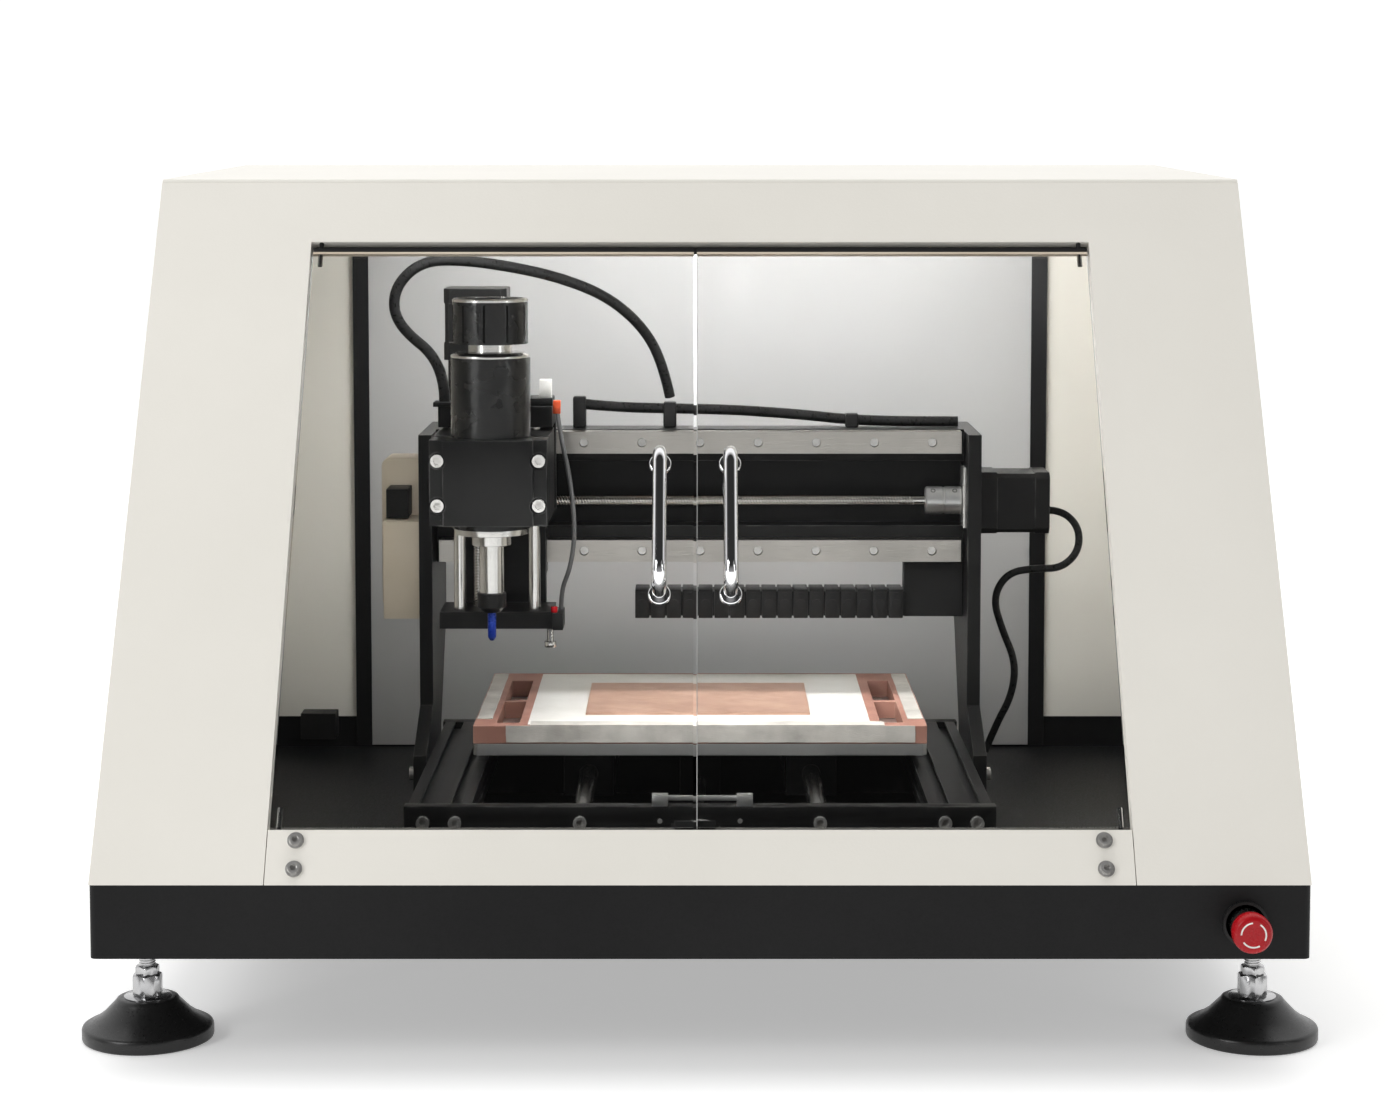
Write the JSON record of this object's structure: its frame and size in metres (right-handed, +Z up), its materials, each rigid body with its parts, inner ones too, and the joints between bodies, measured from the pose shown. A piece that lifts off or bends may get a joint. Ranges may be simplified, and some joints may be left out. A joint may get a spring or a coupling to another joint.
{
  "type": "desktop cnc router",
  "caption": "Enclosed desktop router: moving bed, gantry with carriage and spindle, two leaning hinged doors, base tray on levelling feet.",
  "frame": {"origin": "middle of the footprint, on the floor plane under the feet", "axes": "+X to the machine's right as seen from its doors, +Y to the rear, +Z up"},
  "size_m": [0.738, 0.633, 0.521],
  "materials": {
    "beige_paint": "powder coat, light beige, satin",
    "black_paint": "powder coat, black, fine texture",
    "smoked_window": "clear grey acrylic, polished",
    "steel_bright": "ground or turned bright steel",
    "chrome_plate": "polished chrome",
    "rear_steel": "brushed, with soft reflections",
    "aluminium_raw": "extruded or milled, clear anodised",
    "aluminium_black": "black anodised, satin",
    "board_terracotta": "dense fibre board, painted red-brown",
    "masking_tape": "off-white tape and paper, matt",
    "copper_clad": "copper clad circuit board",
    "rubber_black": "moulded, matt",
    "plastic_black": "moulded, fine grain",
    "plastic_red": "moulded, glossy",
    "plastic_beige": "moulded, satin",
    "board_green": "circuit board laminate",
    "cable_black": "smooth sleeving, satin",
    "wire_grey": "plastic insulated wire",
    "tool_blue": "coated carbide"
  },
  "bodies": {
    "frame": {"base_tray": "black_paint", "hood_front_frame": "beige_paint", "hood_cover": "beige_paint", "rear_wall": "beige_paint", "rear_access_panel": "rear_steel", "rear_panel_trim": "rear_steel", "lower_front_panel": "beige_paint", "door_hardware": "steel_bright", "stop_button_collar": "plastic_black", "power_inlet": "plastic_black", "power_supply": "aluminium_raw", "controller_board": "board_green", "bed_extrusions": "aluminium_raw", "bed_end_plates": "aluminium_black", "y_guide_rods": "steel_bright", "screw_bearings": "steel_bright", "y_motor": "plastic_black", "gantry_uprights": "aluminium_black", "x_beam": "aluminium_black", "x_rails": "steel_bright", "frame_bolts": "steel_bright", "x_motor": "plastic_black", "cable_chain": "plastic_black", "junction_box": "plastic_beige", "frame_cables": "cable_black"},
    "table": {"table_plate": "aluminium_raw", "table_bearing_blocks": "aluminium_raw", "spoilboard": "board_terracotta", "tape_and_sheet": "masking_tape", "copper_blank": "copper_clad"},
    "y_screw": {"y_lead_screw": "steel_bright"},
    "x_carriage": {"x_carriage_plate": "aluminium_black", "x_rail_blocks": "steel_bright", "z_end_plates": "aluminium_black", "z_guide_rods": "chrome_plate", "z_motor": "plastic_black", "carriage_switches": "plastic_black", "carriage_cable": "cable_black", "switch_wire": "wire_grey"},
    "x_screw": {"x_lead_screw": "steel_bright"},
    "z_screw": {"z_lead_screw": "steel_bright"},
    "spindle_carrier": {"spindle_mount": "aluminium_black", "clamp_cap": "aluminium_black", "clamp_bolts": "steel_bright", "spindle_body": "aluminium_black", "spindle_top_motor": "aluminium_black", "spindle_end_bells": "steel_bright"},
    "rotor": {"spindle_shaft": "steel_bright", "collet_nut": "aluminium_black", "milling_bit": "tool_blue"},
    "left_door": {"left_door": "smoked_window", "left_handle": "chrome_plate"},
    "right_door": {"right_door": "smoked_window", "right_handle": "chrome_plate"},
    "stop_stem": {"stop_button_stem": "plastic_black"},
    "stop_head": {"stop_button_head": "plastic_red"},
    "front_left_foot": {"front_left_foot": "rubber_black"},
    "front_right_foot": {"front_right_foot": "rubber_black"},
    "rear_left_foot": {"rear_left_foot": "rubber_black"},
    "rear_right_foot": {"rear_right_foot": "rubber_black"}
  },
  "joints": [
    {"name": "left_door_hinge", "type": "hinge", "parent": "frame", "child": "left_door", "pos_m": [-0.2435, -0.2874, 0.10764], "axis": [0, -0.5431, -0.8397], "range_deg": [0, 110]},
    {"name": "right_door_hinge", "type": "hinge", "parent": "frame", "child": "right_door", "pos_m": [0.2435, -0.2874, 0.10764], "axis": [0, 0.5431, 0.8397], "range_deg": [0, 110]},
    {"name": "table_slide", "type": "slide", "parent": "frame", "child": "table", "axis": [0, -1, 0], "range_m": [0, 0.135]},
    {"name": "y_screw_spin", "type": "hinge", "parent": "frame", "child": "y_screw", "pos_m": [0, 0, 0.093], "axis": [0, -1, 0], "continuous": true},
    {"name": "carriage_slide", "type": "slide", "parent": "frame", "child": "x_carriage", "axis": [1, 0, 0], "range_m": [0, 0.273], "deforming": ["carriage_cable"]},
    {"name": "x_screw_spin", "type": "hinge", "parent": "frame", "child": "x_screw", "pos_m": [0, 0.0765, 0.288], "axis": [1, 0, 0], "continuous": true},
    {"name": "spindle_lift", "type": "slide", "parent": "x_carriage", "child": "spindle_carrier", "axis": [0, 0, -1], "range_m": [0, 0.055]},
    {"name": "z_screw_spin", "type": "hinge", "parent": "x_carriage", "child": "z_screw", "pos_m": [-0.1505, 0.0365, 0.288], "axis": [0, 0, -1], "continuous": true},
    {"name": "spindle_spin", "type": "hinge", "parent": "spindle_carrier", "child": "rotor", "pos_m": [-0.1365, -0.0355, 0.288], "axis": [0, 0, -1], "continuous": true},
    {"name": "stop_button_press", "type": "slide", "parent": "frame", "child": "stop_stem", "axis": [0, 1, 0], "range_m": [0, 0.004], "stiffness_N_per_m": 800},
    {"name": "stop_button_twist", "type": "hinge", "parent": "stop_stem", "child": "stop_head", "pos_m": [0.312, -0.3, 0.087], "axis": [0, 1, 0], "range_deg": [0, 40], "stiffness_Nm_per_rad": 0.05},
    {"name": "front_left_foot_height", "type": "slide", "parent": "frame", "child": "front_left_foot", "axis": [0, 0, -1], "range_m": [0, 0.015]},
    {"name": "front_right_foot_height", "type": "slide", "parent": "frame", "child": "front_right_foot", "axis": [0, 0, -1], "range_m": [0, 0.015]},
    {"name": "rear_left_foot_height", "type": "slide", "parent": "frame", "child": "rear_left_foot", "axis": [0, 0, -1], "range_m": [0, 0.015]},
    {"name": "rear_right_foot_height", "type": "slide", "parent": "frame", "child": "rear_right_foot", "axis": [0, 0, -1], "range_m": [0, 0.015]}
  ],
  "couplings": [
    {"joint": "y_screw_spin", "follows": "table_slide", "rad_per_m": -785.4},
    {"joint": "x_screw_spin", "follows": "carriage_slide", "rad_per_m": -785.4},
    {"joint": "z_screw_spin", "follows": "spindle_lift", "rad_per_m": -785.4}
  ]
}
